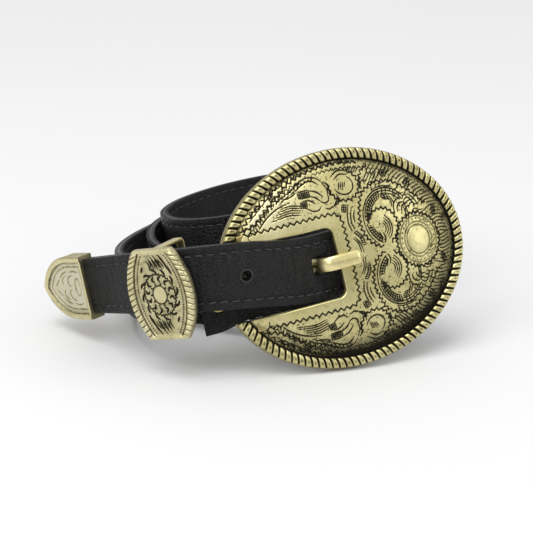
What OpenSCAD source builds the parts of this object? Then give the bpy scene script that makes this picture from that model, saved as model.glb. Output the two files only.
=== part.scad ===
// Western belt, fastened and coiled, standing on its edge: a domed oval buckle with a
// rope-edged rim, a barrel-shaped keeper and a pointed tip on a stitched leather strap.
// Units are millimetres. The plate stands with X along the belt, Z up and its face to -Y.

/* [Buckle plate] */
// Half length of the oval plate
plate_a = 51; // [48:0.5:56]
// Half height of the oval plate
plate_b = 42; // [38:0.5:46]
// Rise of the dome above the rim's seat
dome_h = 8; // [6:0.5:10]
// Thickness of the plate's metal
plate_t = 2; // [1.6:0.1:2.4]
// Width of the rope rim
rim_w = 4.4; // [3.5:0.1:5]
// Depth of the rim's outer wall
rim_h = 3; // [2.5:0.1:3.4]
// Height of the rope above the rim's wall
rope_h = 1.6; // [1:0.1:2]
// Height of the slot that takes the strap
slot_h = 26.8; // [26:0.2:29]
// Place of the slot's closed edge, from the plate's centre
lip_x = -5.4; // [-8:0.1:-3]
// Turn of the plate about the upright axis
plate_yaw = 18; // [17:0.5:19]
// Lean of the plate's top, back from the strap
plate_lean = 7.5; // [6.5:0.5:8]

/* [Bar and prong] */
// Radius of the bar
bar_r = 1.25; // [1.1:0.05:1.3]
// Distance of the bar from the plate's centre
bar_x = -38; // [-39:0.5:-37]
// Height of the prong
prong_h = 5.6; // [4.5:0.1:6]
// Thickness of the prong
prong_t = 2.4; // [2:0.1:2.6]

/* [Strap] */
// Thickness of the grain leather and of the lining
ply_t = 1.3; // [1:0.1:1.5]
// Thickness of the filler between them
core_t = 1.2; // [0.8:0.1:1.4]
// Radius of a punched hole
hole_r = 2; // [1.5:0.1:2.4]
// Length of one stitch
stitch_l = 3; // [2.5:0.1:3.4]
// Distance of a stitch row from the strap's edge
stitch_in = 3.2; // [2.6:0.1:4]

/* [Keeper] */
// Height of the keeper
keeper_h = 34.8; // [34:0.1:38]
// Width of the keeper at its middle
keeper_w = 28.6; // [27:0.1:32]
// Width of the keeper at its top and bottom
keeper_end_w = 16.4; // [14:0.1:20]
// Thickness of the keeper's front
keeper_t = 3.6; // [3:0.1:4]
// Depth of the keeper's loop behind its front
loop_d = 17.2; // [16:0.2:18]

/* [Tip] */
// Length of the tip
tip_l = 27; // [25:0.5:30]
// Height of the tip
tip_h = 26; // [25:0.2:28]
// Thickness of the tip's walls
tip_wall = 0.9; // [0.7:0.1:1.2]

/* [Rest] */
// Roll of the belt as it stands, right side up
rest_roll = 12.4; // [0:0.1:15]
// Lean of the belt as it stands, top back
rest_lean = 8.2; // [0:0.1:15]

/* [Hidden] */
rest_shift = [34.9, -43.0, 40.2];
strap_t = 2 * ply_t + core_t;
arc_sides = 48;
steps = 4;
tight = 0.02;

// Route of the strap's middle line, as x, y, height of the middle and width. It starts at the
// bar, winds inward as one strand, folds back and returns outside itself to the slot, the tip last.
ROUTE = [
    [-42, -11, -1.2, 25], [-50, -11, -2.4, 25.4], [-59, -10.6, 1.2, 25.2], [-70, -5.7, 2.8, 25.2],
    [-80, 7, 2.4, 26], [-87, 27, 2, 26], [-87, 52, 1.6, 26], [-80, 76, 1.4, 26], [-67, 98, 1.2, 26],
    [-45, 111, 1, 26], [-20, 115, 1, 26], [6, 114, 1, 26], [28, 104, 1.4, 26], [38, 86, 2, 26],
    [37, 66, 3, 26], [23, 52, 4, 26], [0, 44, 5, 26], [-26, 40, 5.4, 26], [-49, 44, 5.6, 26],
    [-64, 56, 6.4, 26], [-69, 74, 8, 26], [-61, 91, 9.4, 26], [-42, 101, 10.4, 26], [-20, 103, 10.4, 26],
    [-4, 99, 9, 26], [7, 94, 7.6, 26], [15, 98, 6, 26], [12, 106, 5, 26], [-2, 109, 4.4, 26],
    [-20, 109, 4, 26], [-44, 106, 4, 26], [-65, 94.5, 3.8, 26], [-74.5, 75, 3, 26], [-75, 50, 0.8, 26],
    [-67, 33, -2.4, 26], [-52, 23, -6.4, 26], [-28, 18, -10.4, 26], [0, 22, -11.6, 26], [22, 27, -9.4, 26],
    [34, 24, -6, 26], [33, 14, -3.8, 26], [20, 6, -1.8, 25.8], [2, -2.4, -0.4, 25.6], [-16, -11.9, 0.7, 25.2],
    [-34, -21.4, 5, 25], [-48, -23.9, 7.2, 24.6], [-63, -19.6, 8, 24.2], [-79, -8, 7.8, 23.6],
    [-96, 10.5, 6.4, 22.4], [-106, 20.5, 5.8, 22]
];

// Middle line of the tab that folds round the bar, as x, y, height of the middle and width
TAB = [
    [-57, -14, -4.2, 24.6], [-50, -13.9, -3.4, 25], [-43.5, -13.9, -1.4, 25.4], [-38.5, -14.7, -0.4, 25],
    [-34.2, -14, -0.3, 25], [-32.4, -11, -0.3, 25], [-34.2, -7.8, -0.3, 25], [-38.5, -7.1, -0.4, 25],
    [-43.5, -7.9, -1.4, 25.4], [-50, -8.15, -3.4, 25], [-57, -7.85, -4.2, 24.6]
];

// Smooth curve through four points, at t between the middle two
function curve_at(a, b, c, d, t) =
    (2 * b + (c - a) * t + (2 * a - 5 * b + 4 * c - d) * t * t + (3 * b - a - 3 * c + d) * t * t * t) / 2;
function route_at(r, i) = i < 0 ? 2 * r[0] - r[1] : i >= len(r) ? 2 * r[i - 1] - r[i - 2] : r[i];
function smooth(r, n) = [
    for (k = [0 : (len(r) - 1) * n])
        let (i = min(floor(k / n), len(r) - 2))
        curve_at(route_at(r, i - 1), r[i], r[i + 1], route_at(r, i + 2), k / n - i)
];
function flat(p) = [p[0], p[1]];
function unit(v) = v / norm(v);
function along(s, i) = unit(flat(s[min(i + 1, len(s) - 1)]) - flat(s[max(i - 1, 0)]));
function left_of(v) = [-v[1], v[0]];
function side(s, i, d, up) =
    let (p = flat(s[i]) + d * left_of(along(s, i)))
    [p[0], p[1], s[i][2] + up * s[i][3] / 2];

strap = smooth(ROUTE, steps);
tab = smooth(TAB, steps);
strap_end = len(strap) - 1;
face_d = core_t / 2 + ply_t;
keeper_at = 46 * steps + 1;
inner_from = 13 * steps;
return_from = 25 * steps;
front_from = 37 * steps;

// Band of leather that follows a smoothed route from one station to another, between two
// distances from its middle line. A distance is positive on the side away from the coil's inside.
module band(s, d1, d2, from, to) {
    n = to - from + 1;
    points = [for (i = [from : to]) for (c = [[d1, -1], [d1, 1], [d2, 1], [d2, -1]]) side(s, i, c[0], c[1])];
    walls = [for (i = [0 : n - 2]) for (k = [0, 2]) [4 * i + 1 + k, 4 * i + 5 + k, 4 * i + 4 + k, 4 * i + k]];
    edges = [
        for (i = [0 : n - 2])
            for (f = [[6, 5, 1], [2, 6, 1], [4, 7, 3], [0, 4, 3]])
                [for (v = f) 4 * i + v]
    ];
    ends = [[3, 2, 1, 0], [4 * n - 4, 4 * n - 3, 4 * n - 2, 4 * n - 1]];
    polyhedron(points, concat(walls, edges, ends), convexity = 10);
}

// Places its children at a station of the strap: X along the strap, -Y out of its grain face
module at_strap(i) {
    v = along(strap, i);
    translate([strap[i][0], strap[i][1], strap[i][2]])
        rotate([0, 0, atan2(-v[1], -v[0])])
            children();
}

module in_plate_frame() {
    rotate([0, 0, plate_yaw])
        rotate([-plate_lean, 0, 0])
            children();
}

module at_rest() {
    translate(rest_shift)
        rotate([-rest_lean, 0, 0])
            rotate([0, -rest_roll, 0])
                children();
}

// Turns a drawing made in X and Y, and its height, to stand up with the height toward -Y
module stand() {
    rotate([90, 0, 0])
        children();
}

function oval(a, b) = [for (i = [0 : arc_sides - 1]) let (t = 360 * i / arc_sides) [a * cos(t), b * sin(t)]];

// Height of the dome's face above the back of the rim, at a share r of the way out
function dome_at(r) = rim_h + dome_h * (1 - pow(r, 2.6));

module dome_solid(drop) {
    hull()
        for (r = [0.1, 0.3, 0.45, 0.6, 0.72, 0.82, 0.9, 0.97])
            linear_extrude(dome_at(r) - drop)
                polygon(oval((plate_a - rim_w + 0.6 - drop / 4) * r, (plate_b - rim_w + 0.6 - drop / 4) * r));
}

module oval_ring(a, b, w, h) {
    linear_extrude(h)
        difference() {
            polygon(oval(a, b));
            polygon(oval(a - w, b - w));
        }
}

module slot_cut() {
    corner = 3;
    reach = plate_a + 2;
    translate([0, 0, -1])
        linear_extrude(20) {
            translate([-reach, -slot_h / 2])
                square([reach + lip_x - corner, slot_h]);
            translate([-reach, corner - slot_h / 2])
                square([reach + lip_x, slot_h - 2 * corner]);
            for (s = [-1, 1])
                translate([lip_x - corner, s * (slot_h / 2 - corner)])
                    circle(r = corner, $fn = 32);
        }
}

bar_y = 1;
lug_l = 4.6;
lug_w = 6.4;
lug_back = bar_y + 2.8;
lug_front = dome_at(0.82) - plate_t / 2 - 1;
lug_in = slot_h / 2 + 0.6;

// Lugs behind the arms that hold the bar's ends
module bar_lugs() {
    for (s = [-1, 1])
        translate([bar_x - lug_w / 2, s * (lug_in + lug_l / 2) - lug_l / 2, -lug_back])
            cube([lug_w, lug_l, lug_back + lug_front]);
}

module buckle_plate() {
    color("darkgoldenrod")
        in_plate_frame()
            difference() {
                stand()
                    difference() {
                        union() {
                            difference() {
                                dome_solid(0);
                                translate([0, 0, -tight])
                                    dome_solid(plate_t);
                            }
                            oval_ring(plate_a, plate_b, rim_w, rim_h);
                            oval_ring(plate_a - 0.5, plate_b - 0.5, rim_w - 1, rim_h + rope_h);
                            bar_lugs();
                        }
                        slot_cut();
                    }
                translate([bar_x, bar_y, -lug_in - lug_l + 0.8])
                    cylinder(r = bar_r, h = 2 * (lug_in + lug_l - 0.8), $fn = 32);
            }
}

module buckle_bar() {
    color("dimgray")
        in_plate_frame()
            translate([bar_x, bar_y, -lug_in - lug_l + 0.8])
                cylinder(r = bar_r, h = 2 * (lug_in + lug_l - 0.8), $fn = 32);
}

prong_eye = bar_r + 1.35;
prong_tip_x = 2.6;
lip_top = -dome_at(0.12) - 0.15;

prong_round = 0.9;
prong_back = bar_y - prong_eye;
prong_front = lip_top - prong_t;

// The rise in plan, on the side toward the lip and on the side toward the bar
rise_to_lip = [[-13, -0.6], [-10.8, -5.4], [-9.8, lip_top + 1.6], [-8.8, lip_top + 0.3]];
rise_to_bar = [[-10.6, prong_front], [-12, prong_front + 0.7], [-12.8, lip_top - 0.2], [-13.6, -6.4], [-15, -2.8]];
shank_ends = [-15.6, -17.2];

// Outline of the prong in plan: a flat shank behind the strap, a rise through its hole and a
// tongue that lies on the lip
function prong_line() = concat(
    [[bar_x, prong_back + prong_t], [shank_ends[0], prong_back + prong_t]],
    rise_to_lip,
    [[lip_x - 2.2, lip_top], [prong_tip_x, lip_top]],
    [[prong_tip_x, prong_front + prong_round], [prong_tip_x - prong_round, prong_front]],
    rise_to_bar,
    [[shank_ends[1], prong_back], [bar_x, prong_back]]
);

module prong() {
    color("goldenrod")
        in_plate_frame()
            difference() {
                union() {
                    translate([bar_x, bar_y, -prong_h / 2])
                        cylinder(r = prong_eye, h = prong_h, $fn = 48);
                    translate([0, 0, -prong_h / 2])
                        linear_extrude(prong_h)
                            polygon(prong_line());
                }
                translate([bar_x, bar_y, -prong_h])
                    cylinder(r = bar_r + 0.06, h = 2 * prong_h, $fn = 32);
            }
}

// Stations of the strap's holes: the one that the prong stands in, and the free ones
prong_hole_at = 43 * steps - 1;
free_holes_at = [41 * steps + 1, 44 * steps + 1, 46 * steps];
hole_reach = 6;

module strap_holes() {
    at_strap(prong_hole_at)
        prong_hole();
    for (i = free_holes_at)
        at_strap(i)
            stand()
                translate([0, 0, -hole_reach])
                    cylinder(r = hole_r, h = 2 * hole_reach, $fn = 32);
}

// The prong's hole is an oblong with room for the prong to lift
module prong_hole() {
    toward_bar = 2.8;
    toward_lip = 5.6;
    hole_h = prong_h + 1.8;
    prong_rise = 0.9;
    translate([-toward_bar, -hole_reach, prong_rise - hole_h / 2])
        cube([toward_bar + toward_lip, 2 * hole_reach, hole_h]);
}

screw_x = -50;
screw_y = -11;
bore_l = 20;
screw_z = 4.7;
screw_mid = 0.8;
post_r = 2.2;
shank_r = 1.4;

module at_screws(which = [-1, 1]) {
    for (s = which)
        translate([screw_x, screw_y, screw_mid + s * screw_z])
            stand()
                children();
}

module screw_bores() {
    at_screws()
        translate([0, 0, -bore_l / 2])
            cylinder(r = post_r, h = bore_l, $fn = 32);
}

// The grain leather, from one station to another
module strap_face(from, to) {
    color([0.09, 0.09, 0.1])
        difference() {
            band(strap, core_t / 2, face_d, from, to);
            strap_holes();
            screw_bores();
        }
}

module strap_face_outer() {
    strap_face(0, inner_from);
}

module strap_face_inner() {
    strap_face(inner_from, return_from);
}

module strap_face_return() {
    strap_face(return_from, front_from);
}

module strap_face_front() {
    strap_face(front_from, strap_end);
}

module strap_core() {
    color([0.25, 0.2, 0.16])
        difference() {
            band(strap, -core_t / 2, core_t / 2, 0, strap_end);
            strap_holes();
            screw_bores();
        }
}

module strap_lining() {
    color([0.12, 0.12, 0.13])
        difference() {
            band(strap, -face_d, -core_t / 2, 0, strap_end);
            strap_holes();
            screw_bores();
        }
}

tab_t = 1.4;
tab_notch_w = 20;
tab_notch_h = 10;

module fold_tab() {
    color([0.1, 0.1, 0.11])
        difference() {
            band(tab, -tab_t / 2, tab_t / 2, 0, len(tab) - 1);
            screw_bores();
            translate([bar_x - 2, -tab_notch_w, -tab_notch_h / 2])
                cube([tab_notch_w, tab_notch_w, tab_notch_h]);
        }
}

flange_r = 3.8;
flange_h = 1.1;
stack_d = 3.6;

module screw_posts() {
    color("darkgoldenrod")
        at_screws()
            difference() {
                union() {
                    translate([0, 0, -stack_d - flange_h - 0.1])
                        cylinder(r = flange_r, h = flange_h, $fn = 48);
                    translate([0, 0, -stack_d - 0.2])
                        cylinder(r = post_r - 0.05, h = 2 * stack_d - 0.1, $fn = 32);
                }
                translate([0, 0, -2])
                    cylinder(r = shank_r + 0.05, h = 8, $fn = 32);
            }
}

module screw_cap(s) {
    color("goldenrod")
        at_screws([s])
            difference() {
                union() {
                    translate([0, 0, stack_d + 0.1])
                        cylinder(r = flange_r, h = flange_h, $fn = 48);
                    translate([0, 0, -1.5])
                        cylinder(r = shank_r, h = stack_d + 2, $fn = 32);
                }
                translate([-flange_r, -0.5, stack_d + 0.1 + flange_h / 2])
                    cube([2 * flange_r, 1, flange_h]);
            }
}

module screw_cap_upper() {
    screw_cap(1);
}

module screw_cap_lower() {
    screw_cap(-1);
}

keeper_z = -3.4;
keeper_gap = 1.1;
bow_d = (keeper_w - keeper_end_w) / 2;
bow_r = (keeper_h * keeper_h / 4 + bow_d * bow_d) / (2 * bow_d);

// Barrel outline: straight top and bottom, sides bowed as arcs of one radius
module barrel(grow) {
    intersection() {
        intersection_for (m = [-1, 1])
            translate([m * (bow_r - keeper_w / 2), 0])
                circle(r = bow_r + grow, $fn = 96);
        square([2 * keeper_w, keeper_h + 2 * grow], center = true);
    }
}

module at_keeper() {
    at_strap(keeper_at)
        translate([0, -strap_t / 2 - keeper_gap, keeper_z])
            children();
}

module keeper_plate() {
    color("darkgoldenrod")
        at_keeper()
            stand()
                difference() {
                    linear_extrude(keeper_t)
                        barrel(0);
                    translate([0, 0, keeper_t - 0.9])
                        linear_extrude(2)
                            square([keeper_end_w - 5, keeper_h - 5], center = true);
                }
}

loop_w = 3.4;
loop_t = 1.2;
loop_h = keeper_h - 0.6;

module keeper_loop() {
    color("goldenrod")
        at_keeper()
            difference() {
                translate([-loop_w / 2, 0, -loop_h / 2])
                    cube([loop_w, loop_d, loop_h]);
                translate([-loop_w, -1, -loop_h / 2 + loop_t])
                    cube([2 * loop_w, loop_d + 1 - loop_t, loop_h - 2 * loop_t]);
            }
}

tip_gap = 0.1;
tip_hold = 10;

// Shield outline: straight at the strap, round shoulders that meet in a point
module shield(grow) {
    shoulder = 9;
    nose_r = (pow(tip_l - shoulder, 2) + pow(tip_h / 2, 2)) / tip_h;
    intersection() {
        translate([-tip_l - grow, -tip_h / 2 - grow])
            square([tip_l + grow, tip_h + 2 * grow]);
        union() {
            translate([-shoulder, -tip_h / 2 - grow])
                square([shoulder, tip_h + 2 * grow]);
            intersection_for (s = [-1, 1])
                translate([-shoulder, s * (nose_r - tip_h / 2)])
                    circle(r = nose_r + grow, $fn = 96);
        }
    }
}

module at_tip() {
    at_strap(strap_end)
        translate([tip_hold, 0, 0])
            children();
}

module tip_shell() {
    color("darkgoldenrod")
        at_tip()
            translate([0, -strap_t / 2 - tip_gap, 0])
                stand()
                    difference() {
                        union() {
                            linear_extrude(tip_wall + 0.9)
                                shield(0);
                            translate([0, 0, -strap_t - 2 * tip_gap])
                                linear_extrude(strap_t + 2 * tip_gap)
                                    difference() {
                                        shield(0);
                                        shield(-1.4);
                                        translate([-tip_l / 2, -tip_h / 2 + 1.4])
                                            square([tip_l, tip_h - 2.8]);
                                    }
                        }
                        translate([0, 0, tip_wall])
                            linear_extrude(3)
                                shield(-3.2);
                    }
}

module tip_back() {
    color("goldenrod")
        at_tip()
            translate([0, strap_t / 2 + tip_gap + tip_wall, 0])
                stand()
                    difference() {
                        linear_extrude(tip_wall)
                            shield(0);
                        tip_pin_spots()
                            translate([0, 0, -1])
                                cylinder(r = 0.9, h = 4, $fn = 24);
                    }
}

module tip_pin_spots() {
    for (s = [-1, 1])
        translate([-4, s * 7, 0])
            children();
}

module tip_pins() {
    color("dimgray")
        at_tip()
            translate([0, strap_t / 2 + tip_gap + tip_wall, 0])
                stand()
                    tip_pin_spots()
                        cylinder(r = 0.9, h = tip_wall, $fn = 24);
}

thread_w = 0.6;
thread_h = 0.25;
thread_gap = 0.05;

function stitch_z(i, s) = s * (strap[i][3] / 2 - stitch_in);

module stitches(s) {
    color([0.2, 0.2, 0.22])
        for (i = [43 * steps : strap_end - 4])
            at_strap(i)
                translate([-stitch_l / 2, -face_d - thread_gap - thread_h, stitch_z(i, s) - thread_w / 2])
                    cube([stitch_l, thread_h, thread_w]);
}

module thread_upper() {
    stitches(1);
}

module thread_lower() {
    stitches(-1);
}

at_rest() buckle_plate();
at_rest() buckle_bar();
at_rest() prong();
at_rest() strap_face_outer();
at_rest() strap_face_inner();
at_rest() strap_face_return();
at_rest() strap_face_front();
at_rest() strap_core();
at_rest() strap_lining();
at_rest() fold_tab();
at_rest() screw_posts();
at_rest() screw_cap_upper();
at_rest() screw_cap_lower();
at_rest() keeper_plate();
at_rest() keeper_loop();
at_rest() tip_shell();
at_rest() tip_back();
at_rest() tip_pins();
at_rest() thread_upper();
at_rest() thread_lower();
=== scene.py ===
import math

import bpy
import bmesh
import numpy as np
from mathutils import Matrix, Vector
from mathutils.geometry import delaunay_2d_cdt


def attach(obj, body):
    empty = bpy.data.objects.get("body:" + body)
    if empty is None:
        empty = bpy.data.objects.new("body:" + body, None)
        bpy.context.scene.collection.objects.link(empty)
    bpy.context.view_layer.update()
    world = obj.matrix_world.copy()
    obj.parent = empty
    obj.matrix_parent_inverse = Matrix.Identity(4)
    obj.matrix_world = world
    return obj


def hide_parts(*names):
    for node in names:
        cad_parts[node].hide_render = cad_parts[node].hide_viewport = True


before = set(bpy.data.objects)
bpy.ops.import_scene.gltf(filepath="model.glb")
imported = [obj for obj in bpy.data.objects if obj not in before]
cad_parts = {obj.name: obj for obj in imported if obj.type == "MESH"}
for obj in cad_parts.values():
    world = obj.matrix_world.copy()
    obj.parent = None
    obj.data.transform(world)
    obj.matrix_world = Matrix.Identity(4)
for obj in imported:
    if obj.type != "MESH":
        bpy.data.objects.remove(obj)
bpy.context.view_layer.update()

# ---------------------------------------------------------------- frames, in millimetres
MM = 0.001
ROLL, LEAN, YAW, TILT = (math.radians(v) for v in (12.4, 8.2, 18, 7.5))
SHIFT = np.array([34.9, -43.0, 40.2])


def spin(axis, a):
    return np.array(Matrix.Rotation(a, 3, axis))


REST = spin("X", -LEAN) @ spin("Y", -ROLL)  # the whole belt, as it stands
PLATE = spin("Z", YAW) @ spin("X", -TILT)  # the plate in the belt frame


def to_row(p):
    """Belt frame in millimetres to the row frame in metres."""
    return (np.asarray(p, float) @ REST.T + SHIFT) * MM


def place(p, turn, at=(0, 0, 0)):
    """Points of a local frame that stands, turned, at a place of the belt frame."""
    return np.asarray(p, float) @ turn.T + at


# ---------------------------------------------------------------- the strap's route
# each point is its place in the belt frame and the strap's width there
ROUTE = [
    [-42, -11, -1.2, 25], [-50, -11, -2.4, 25.4], [-59, -10.6, 1.2, 25.2], [-70, -5.7, 2.8, 25.2],
    [-80, 7, 2.4, 26], [-87, 27, 2, 26], [-87, 52, 1.6, 26], [-80, 76, 1.4, 26], [-67, 98, 1.2, 26],
    [-45, 111, 1, 26], [-20, 115, 1, 26], [6, 114, 1, 26], [28, 104, 1.4, 26], [38, 86, 2, 26],
    [37, 66, 3, 26], [23, 52, 4, 26], [0, 44, 5, 26], [-26, 40, 5.4, 26], [-49, 44, 5.6, 26],
    [-64, 56, 6.4, 26], [-69, 74, 8, 26], [-61, 91, 9.4, 26], [-42, 101, 10.4, 26], [-20, 103, 10.4, 26],
    [-4, 99, 9, 26], [7, 94, 7.6, 26], [15, 98, 6, 26], [12, 106, 5, 26], [-2, 109, 4.4, 26],
    [-20, 109, 4, 26], [-44, 106, 4, 26], [-65, 94.5, 3.8, 26], [-74.5, 75, 3, 26], [-75, 50, 0.8, 26],
    [-67, 33, -2.4, 26], [-52, 23, -6.4, 26], [-28, 18, -10.4, 26], [0, 22, -11.6, 26], [22, 27, -9.4, 26],
    [34, 24, -6, 26], [33, 14, -3.8, 26], [20, 6, -1.8, 25.8], [2, -2.4, -0.4, 25.6], [-16, -11.9, 0.7, 25.2],
    [-34, -21.4, 5, 25], [-48, -23.9, 7.2, 24.6], [-63, -19.6, 8, 24.2], [-79, -8, 7.8, 23.6],
    [-96, 10.5, 6.4, 22.4], [-106, 20.5, 5.8, 22],
]
TAB = [
    [-57, -14, -4.2, 24.6], [-50, -13.9, -3.4, 25], [-43.5, -13.9, -1.4, 25.4], [-38.5, -14.7, -0.4, 25],
    [-34.2, -14, -0.3, 25], [-32.4, -11, -0.3, 25], [-34.2, -7.8, -0.3, 25], [-38.5, -7.1, -0.4, 25],
    [-43.5, -7.9, -1.4, 25.4], [-50, -8.15, -3.4, 25], [-57, -7.85, -4.2, 24.6],
]
STEPS = 4  # stations from one route point to the next, as in the CAD


def smooth(route, n):
    """The CAD's curve through a route's points, n steps from each to the next."""
    r = np.array(route, float)
    r = np.vstack([2 * r[0] - r[1], r, 2 * r[-1] - r[-2]])
    out = []
    for k in range((len(r) - 3) * n + 1):
        i = min(k // n, len(r) - 4)
        a, b, c, d = r[i : i + 4]
        t = k / n - i
        x = 2 * b + (c - a) * t + (2 * a - 5 * b + 4 * c - d) * t * t + (3 * b - a - 3 * c + d) * t**3
        out.append(x / 2)
    return np.array(out)


def station(route, i):
    """A CAD station's place, and the turn of its frame: X toward the buckle, -Y out of the grain."""
    s = smooth(route, STEPS)
    v = s[min(i + 1, len(s) - 1)][:2] - s[max(i - 1, 0)][:2]
    return s[i][:3], spin("Z", math.atan2(-v[1], -v[0]))


def laid_out(route, step):
    """Even stations along a route: place, width, left-hand normal, distance travelled."""
    s = smooth(route, 24)
    far = np.concatenate([[0], np.cumsum(np.linalg.norm(np.diff(s[:, :2], axis=0), axis=1))])
    d = np.linspace(0, far[-1], int(far[-1] / step) + 1)
    p = np.stack([np.interp(d, far, s[:, k]) for k in range(4)], 1)
    v = np.gradient(p[:, :2], axis=0)
    v /= np.linalg.norm(v, axis=1)[:, None]
    return p, np.stack([-v[:, 1], v[:, 0]], 1), d


# ---------------------------------------------------------------- meshes
def piece(name, points, faces, body, nodes=(), slot=None, mat=None, tone=None, lay=None, sharp=35, raw=False):
    """A mesh object. tone darkens its finish or makes it silvery, and on the plate also carries painted shade
    and a painted highlight; lay holds a leather's own coordinates.
    """
    me = bpy.data.meshes.new(name)
    pts = np.asarray(points, float) if raw else to_row(points)
    me.from_pydata(pts.tolist(), [], [tuple(f) for f in faces])
    me.validate()
    kinds = ("tone", "FLOAT", "value", tone), ("lay", "FLOAT_VECTOR", "vector", lay)
    for key, kind, field, values in kinds:
        if values is not None:
            layer = me.attributes.new(key, kind, "POINT")
            layer.data.foreach_set(field, np.asarray(values, np.float32).ravel())
    me.polygons.foreach_set("use_smooth", [True] * len(me.polygons))
    me.set_sharp_from_angle(angle=math.radians(sharp))
    o = bpy.data.objects.new(name, me)
    bpy.context.scene.collection.objects.link(o)
    if mat:
        me.materials.append(mat)
    if body:
        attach(o, body)
    if nodes:
        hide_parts(*nodes)
    return o


def grid_faces(n, m, wrap=False):
    """Quads of an n by m array of points; wrap joins the last column to the first."""
    a = np.arange(n * m).reshape(n, m)
    b = np.concatenate([a, a[:, :1]], 1) if wrap else a
    return np.stack([b[:-1, :-1], b[:-1, 1:], b[1:, 1:], b[1:, :-1]], -1).reshape(-1, 4)


def tube(rings):
    """A closed skin over rings of points, with flat ends."""
    n, m = rings.shape[:2]
    faces = grid_faces(n, m, True)[:, ::-1].tolist()
    return rings.reshape(-1, 3), faces + [list(range(m)), list(range(n * m - 1, n * m - m - 1, -1))]


def merged(parts):
    pts, faces, k = [], [], 0
    for p, f in parts:
        pts.append(np.asarray(p, float))
        faces += [[int(v) + k for v in q] for q in f]
        k += len(p)
    return np.vstack(pts), faces


def sweep(route, step, section):
    """A band along a route. A section row is distance from the middle line, side, inset from the edge."""
    p, n, d = laid_out(route, step)
    u, side, inset = np.array(section, float).T
    rings = np.empty((len(p), len(section), 3))
    rings[:, :, :2] = p[:, None, :2] + n[:, None, :] * u[None, :, None]
    v = side * (p[:, 3:4] / 2 - inset)
    rings[:, :, 2] = p[:, 2:3] + v
    lay = np.stack([np.broadcast_to(d[:, None], v.shape), v, np.broadcast_to(u, v.shape)], -1) * MM
    points, faces = tube(rings)
    return points, faces, lay.reshape(-1, 3)


def cut(o, *cutters):
    """Takes cutter solids out of a piece, and keeps the result as its mesh."""
    pts, faces = merged(cutters)
    tool = piece("tool", pts, faces, None)
    for me in (tool.data, o.data):
        bm = bmesh.new()
        bm.from_mesh(me)
        bmesh.ops.recalc_face_normals(bm, faces=bm.faces)
        bm.to_mesh(me)
        bm.free()
    mod = o.modifiers.new("cut", "BOOLEAN")
    mod.operation, mod.object, mod.solver = "DIFFERENCE", tool, "EXACT"
    mod.use_self = True
    dg = bpy.context.evaluated_depsgraph_get()
    me = bpy.data.meshes.new_from_object(o.evaluated_get(dg))
    o.modifiers.clear()
    o.data = me
    bpy.data.objects.remove(tool)


def rod(radius, y0, y1, sides=48):
    """A round bar along Y."""
    a = np.linspace(0, 2 * np.pi, sides, endpoint=False)
    x, z = radius * np.cos(a), radius * np.sin(a)
    rings = [np.stack([x, np.full(sides, float(y)), z], 1) for y in (y0, y1)]
    return tube(np.stack(rings)[:, ::-1])


def ring_of(profile, sides=64):
    """A ring round Y from a closed profile of radius and y."""
    pr = np.array(profile, float)
    a = np.linspace(0, 2 * np.pi, sides, endpoint=False)[:, None]
    y = np.broadcast_to(pr[:, 1], (sides, len(pr)))
    pts = np.stack([np.cos(a) * pr[:, 0], y, np.sin(a) * pr[:, 0]], -1)
    idx = np.arange(sides * len(pr)).reshape(sides, len(pr))
    nxt = np.roll(idx, -1, 0)
    faces = np.stack([idx, nxt, np.roll(nxt, -1, 1), np.roll(idx, -1, 1)], -1).reshape(-1, 4)
    return pts.reshape(-1, 3), faces.tolist()


def border(n, m):
    """Numbers of the points round the outside of an n by m grid."""
    idx = np.arange(n * m).reshape(n, m)
    return np.concatenate([idx[:, 0], idx[-1, 1:], idx[-2::-1, -1], idx[0, -2:0:-1]])


def skirted(front, *rings):
    """A grid's surface, closed by rings of points that follow its border, with the last one filled."""
    n, m = front.shape[:2]
    loop = border(n, m)
    rows = [loop] + [n * m + len(loop) * k + np.arange(len(loop)) for k in range(len(rings))]
    faces = grid_faces(n, m).tolist()
    for one, two in zip(rows, rows[1:]):
        faces += np.stack([one, np.roll(one, -1), np.roll(two, -1), two], 1).tolist()
    faces.append(rows[-1].tolist())
    return np.vstack([front.reshape(-1, 3), *rings]), faces


# ---------------------------------------------------------------- drawing for the engraving
def arc(cx, cz, rx, rz, a0, a1, n=28):
    a = np.radians(np.linspace(a0, a1, n))
    return np.stack([cx + rx * np.cos(a), cz + rz * np.sin(a)], 1)


def curve(*pts):
    r = np.array(pts, float)
    r = np.hstack([r, np.zeros((len(r), 2))])
    return smooth(r, 8)[:, :2]


def curves(*paths):
    return [curve(*p) for p in paths]


def row(count, *points, step=1.0, bent=True):
    """Strokes side by side. A point is its first place, and its shift from stroke to stroke."""
    out = []
    for k in np.arange(count) * step:
        path = [(x + dx * k, z + dz * k) for x, z, dx, dz in points]
        out.append(curve(*path) if bent else np.array(path))
    return out


def on_ring(rx, rz, a):
    return rx * math.cos(a), rz * math.sin(a)


def evenly(path, step):
    path = np.asarray(path, float)
    far = np.concatenate([[0], np.cumsum(np.linalg.norm(np.diff(path, axis=0), axis=1))])
    n = max(2, int(round(far[-1] / step)) + 1)
    d = np.linspace(0, far[-1], n)
    return np.stack([np.interp(d, far, path[:, k]) for k in (0, 1)], 1)


def normals(path):
    v = np.gradient(path, axis=0)
    v /= np.linalg.norm(v, axis=1)[:, None] + 1e-9
    return np.stack([-v[:, 1], v[:, 0]], 1)


def zigzag(path, pitch, reach):
    p = evenly(path, pitch / 2)
    sign = np.where(np.arange(len(p)) % 2, 1.0, -1.0)[:, None]
    return p + normals(p) * sign * reach


def rungs(a, b, pitch):
    """Short strokes that join two lines, for a checkered band."""
    n = max(2, int(len(evenly(a, pitch))))
    ea, eb = (evenly(q, 1e-9 + np.linalg.norm(np.diff(q, axis=0), axis=1).sum() / (n - 1)) for q in (a, b))
    return [np.array([p, q]) for p, q in zip(ea, eb)]


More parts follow.
